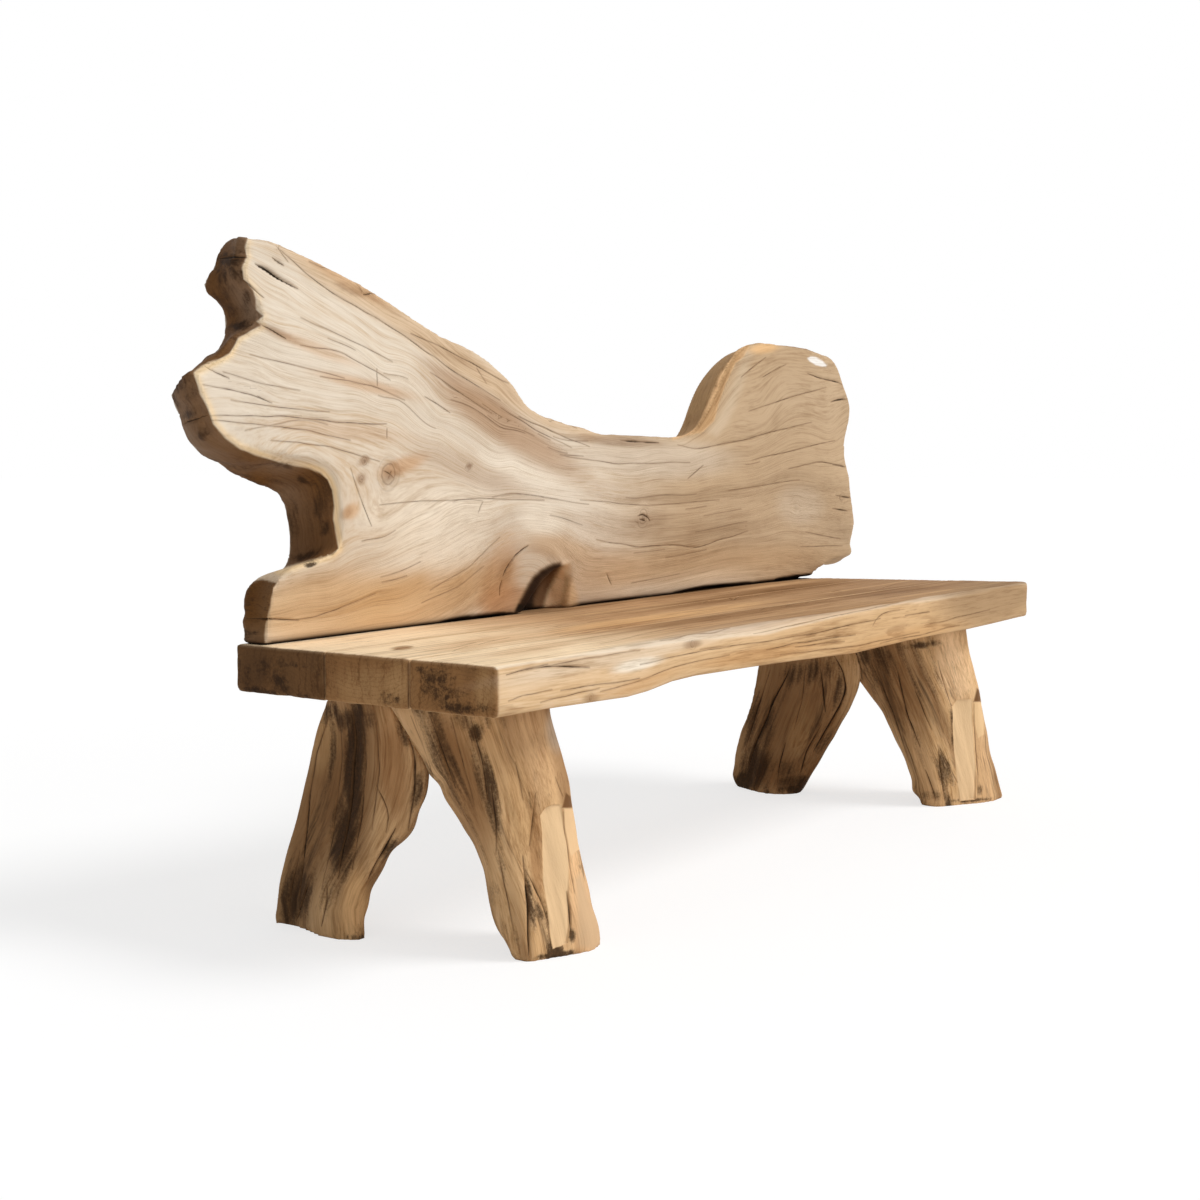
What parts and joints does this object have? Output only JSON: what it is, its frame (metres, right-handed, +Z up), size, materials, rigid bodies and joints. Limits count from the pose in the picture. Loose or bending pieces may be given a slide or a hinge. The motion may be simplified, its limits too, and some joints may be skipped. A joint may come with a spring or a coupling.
{
  "type": "rustic log bench",
  "caption": "Log bench with thick seat boards, splayed log legs in crossed pairs and a tall live-edge slab backrest with a deep dip, a notch and a rotted hollow",
  "frame": {"origin": "Middle of the bench's outer box in plan, on the floor under the feet.", "axes": "+Z is up. -Y is the side the sitter faces, so the backrest stands on the +Y side. +X runs along the bench to the right of someone who looks at its front."},
  "size_m": [1.9188, 0.5093, 1],
  "materials": {
    "seat_wood": "weathered, sanded",
    "backrest_wood": "weathered, sanded",
    "leg_wood": "debarked, weathered",
    "dowel_wood": "turned",
    "screw_steel": "galvanised"
  },
  "bodies": {
    "root": {"seat_board_front": "seat_wood", "seat_board_middle": "seat_wood", "seat_board_rear": "seat_wood", "backrest": "backrest_wood", "leg_front_left": "leg_wood", "leg_rear_left": "leg_wood", "leg_front_right": "leg_wood", "leg_rear_right": "leg_wood", "front_seam_dowel_1": "dowel_wood", "front_seam_dowel_2": "dowel_wood", "front_seam_dowel_3": "dowel_wood", "front_seam_dowel_4": "dowel_wood", "front_seam_dowel_5": "dowel_wood", "rear_seam_dowel_1": "dowel_wood", "rear_seam_dowel_2": "dowel_wood", "rear_seam_dowel_3": "dowel_wood", "rear_seam_dowel_4": "dowel_wood", "rear_seam_dowel_5": "dowel_wood", "backrest_screw_1": "screw_steel", "backrest_screw_2": "screw_steel", "backrest_screw_3": "screw_steel", "backrest_screw_4": "screw_steel", "backrest_washer_1": "screw_steel", "backrest_washer_2": "screw_steel", "backrest_washer_3": "screw_steel", "backrest_washer_4": "screw_steel"}
  },
  "joints": []
}
